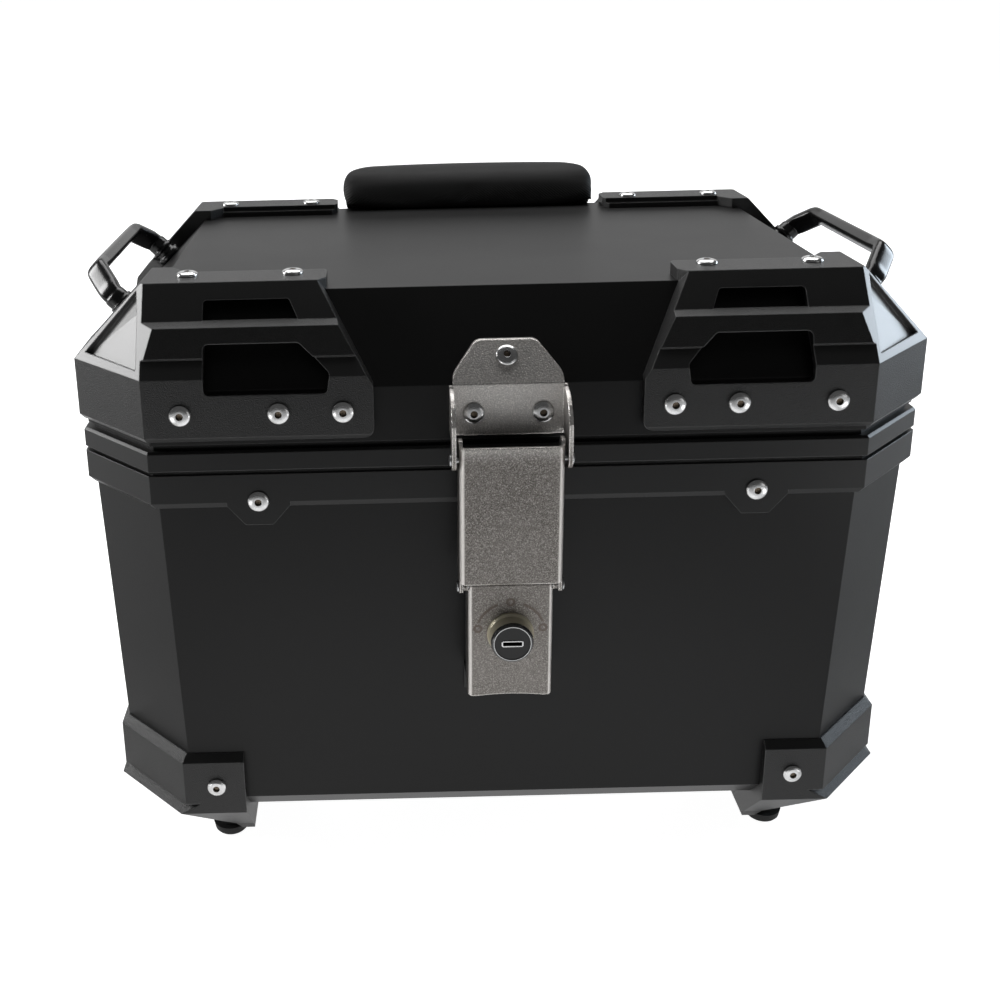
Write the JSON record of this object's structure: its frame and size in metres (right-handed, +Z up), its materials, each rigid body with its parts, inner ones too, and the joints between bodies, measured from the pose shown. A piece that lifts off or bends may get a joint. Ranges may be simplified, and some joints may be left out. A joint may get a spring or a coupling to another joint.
{
  "type": "motorcycle top case",
  "caption": "Black hard top case with corner guards, carry handles, a backrest pad, and a hinged lid held by a fold-down latch with a key lock.",
  "frame": {"origin": "centre of the case's footprint, at the bottom of its rubber feet", "axes": "+X across the case, -Y towards the latch, +Y towards the hinge and backrest, +Z up"},
  "size_m": [0.4492, 0.3514, 0.3517],
  "materials": {
    "shell_black": "satin black powder coat",
    "trim_black": "semi-gloss black",
    "guard_black": "fine-textured black",
    "rivet_alu": "bright",
    "dark_rivet": "black",
    "rubber": "matte",
    "zinc_steel": "zinc plated",
    "mat_grey": "matte mat",
    "latch_steel": "bead blasted",
    "hinge_black": "satin black",
    "board_black": "matte",
    "pad_vinyl": "black vinyl",
    "handle_black": "gloss",
    "lock_brass": "nickel and brass",
    "lock_black": "satin black"
  },
  "bodies": {
    "body": {"body_shell": "shell_black", "body_trim": "trim_black", "rim_gasket": "rubber", "floor_plate": "zinc_steel", "floor_mat": "mat_grey", "foot_guard_front_left": "guard_black", "foot_guard_front_right": "guard_black", "foot_guard_rear_left": "guard_black", "foot_guard_rear_right": "guard_black", "rubber_foot_front_left": "rubber", "rubber_foot_front_right": "rubber", "rubber_foot_rear_left": "rubber", "rubber_foot_rear_right": "rubber", "foot_guard_rivets": "rivet_alu", "foot_screws": "zinc_steel", "trim_rivets": "rivet_alu", "latch_strike": "hinge_black", "strike_rivets": "rivet_alu", "hinge_leaf_body": "hinge_black", "hinge_body_rivets": "dark_rivet", "hinge_pin": "zinc_steel", "stay_anchor_body_left": "zinc_steel", "stay_anchor_body_right": "zinc_steel"},
    "lid": {"lid_shell": "shell_black", "lid_trim": "trim_black", "corner_guard_front_left": "guard_black", "corner_guard_front_right": "guard_black", "corner_guard_rear_left": "guard_black", "corner_guard_rear_right": "guard_black", "guard_top_rivets": "rivet_alu", "guard_front_rivets": "rivet_alu", "guard_rear_rivets": "rivet_alu", "guard_side_rivets": "rivet_alu", "latch_bracket": "latch_steel", "latch_bracket_rivets": "rivet_alu", "arm_pins": "zinc_steel", "hinge_leaf_lid": "hinge_black", "hinge_lid_rivets": "dark_rivet", "backrest_board": "board_black", "backrest_pad": "pad_vinyl", "backrest_screws": "zinc_steel", "handle_left": "handle_black", "handle_right": "handle_black", "handle_screws": "zinc_steel", "stay_anchor_lid_left": "zinc_steel", "stay_anchor_lid_right": "zinc_steel"},
    "latch_arm": {"latch_arm": "latch_steel", "flap_pins": "zinc_steel"},
    "latch_flap": {"latch_flap": "latch_steel", "lock_housing": "lock_brass", "lock_nut": "zinc_steel"},
    "lock_plug": {"lock_plug": "lock_black", "lock_cam": "zinc_steel", "cam_nut": "zinc_steel"}
  },
  "joints": [
    {"name": "lid_hinge", "type": "hinge", "parent": "body", "child": "lid", "pos_m": [0, 0.1534, 0.242], "axis": [-1, 0, 0], "range_deg": [0, 95]},
    {"name": "latch_arm_hinge", "type": "hinge", "parent": "lid", "child": "latch_arm", "pos_m": [0, -0.1635, 0.2525], "axis": [-1, 0, 0], "range_deg": [0, 150]},
    {"name": "latch_flap_hinge", "type": "hinge", "parent": "latch_arm", "child": "latch_flap", "pos_m": [0, -0.1629, 0.1846], "axis": [-1, 0, 0], "range_deg": [0, 90]},
    {"name": "lock_turn", "type": "hinge", "parent": "latch_flap", "child": "lock_plug", "pos_m": [0, -0.165, 0.1588], "axis": [0, -1, 0], "range_deg": [0, 90]}
  ]
}
